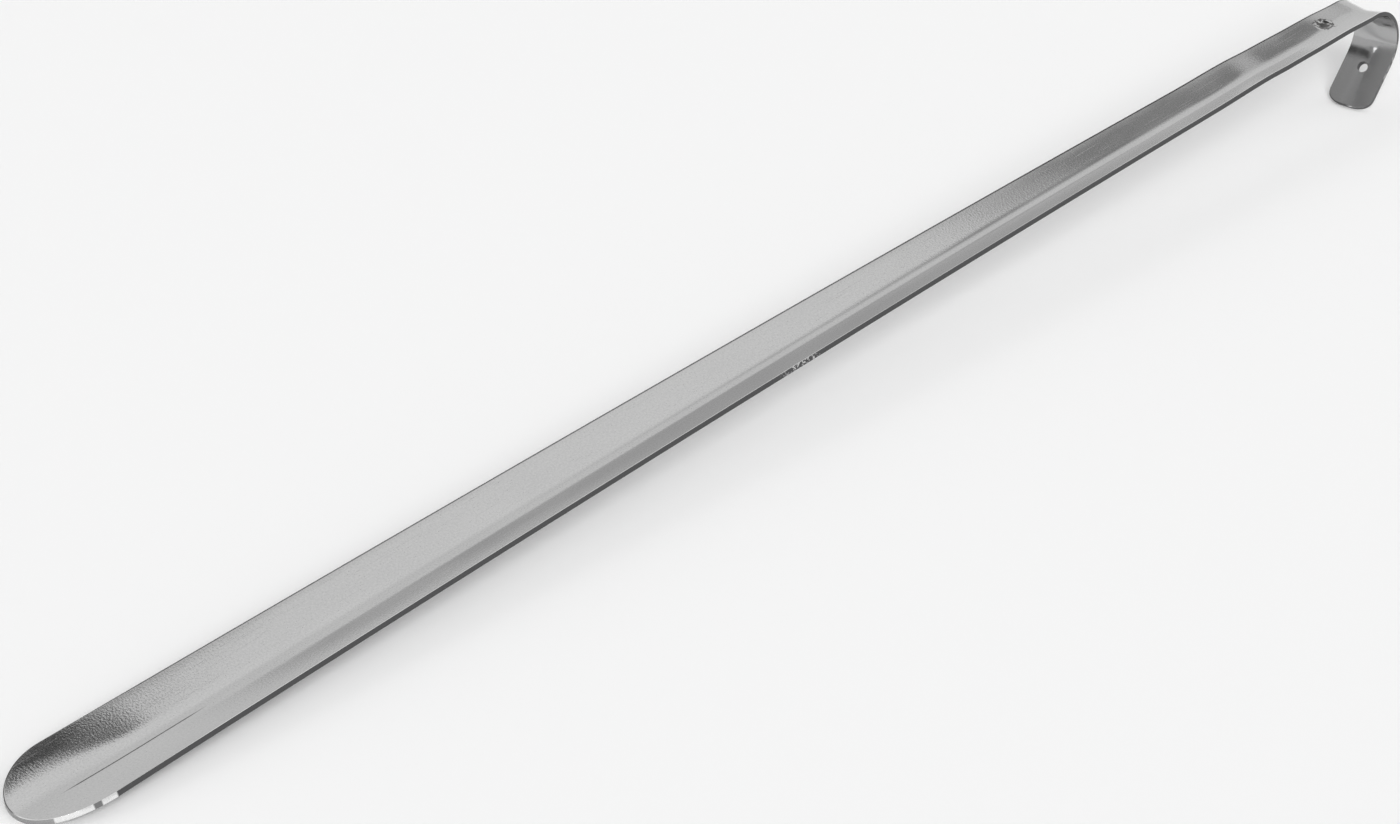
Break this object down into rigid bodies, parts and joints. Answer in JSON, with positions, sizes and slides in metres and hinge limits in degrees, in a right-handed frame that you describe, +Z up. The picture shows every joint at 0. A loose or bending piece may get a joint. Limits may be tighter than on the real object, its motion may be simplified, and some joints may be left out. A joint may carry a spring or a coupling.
{
  "type": "long shoehorn",
  "caption": "Long-handled steel shoehorn: a shallow trough that tapers from a rounded blade to a narrow shank, bent at the top to a hook with a hanging hole.",
  "frame": {"origin": "centre of the bounding box's underside, on the surface that the shoehorn lies on with its trough up", "axes": "+X from the blade's tip to the hook, +Z up, out of the trough; the strip is symmetric about Y = 0 apart from the pressed mark. The shank leans 3.2 degrees up from the tip to the hook, because it lies on its tip and on its tongue's end"},
  "size_m": [0.5996, 0.0352, 0.0369],
  "materials": {
    "plated_steel": "bright plating over pressed sheet steel, polished with a faint haze and fine rub marks"
  },
  "bodies": {
    "root": {"shoehorn_strip": "plated_steel"}
  },
  "joints": []
}
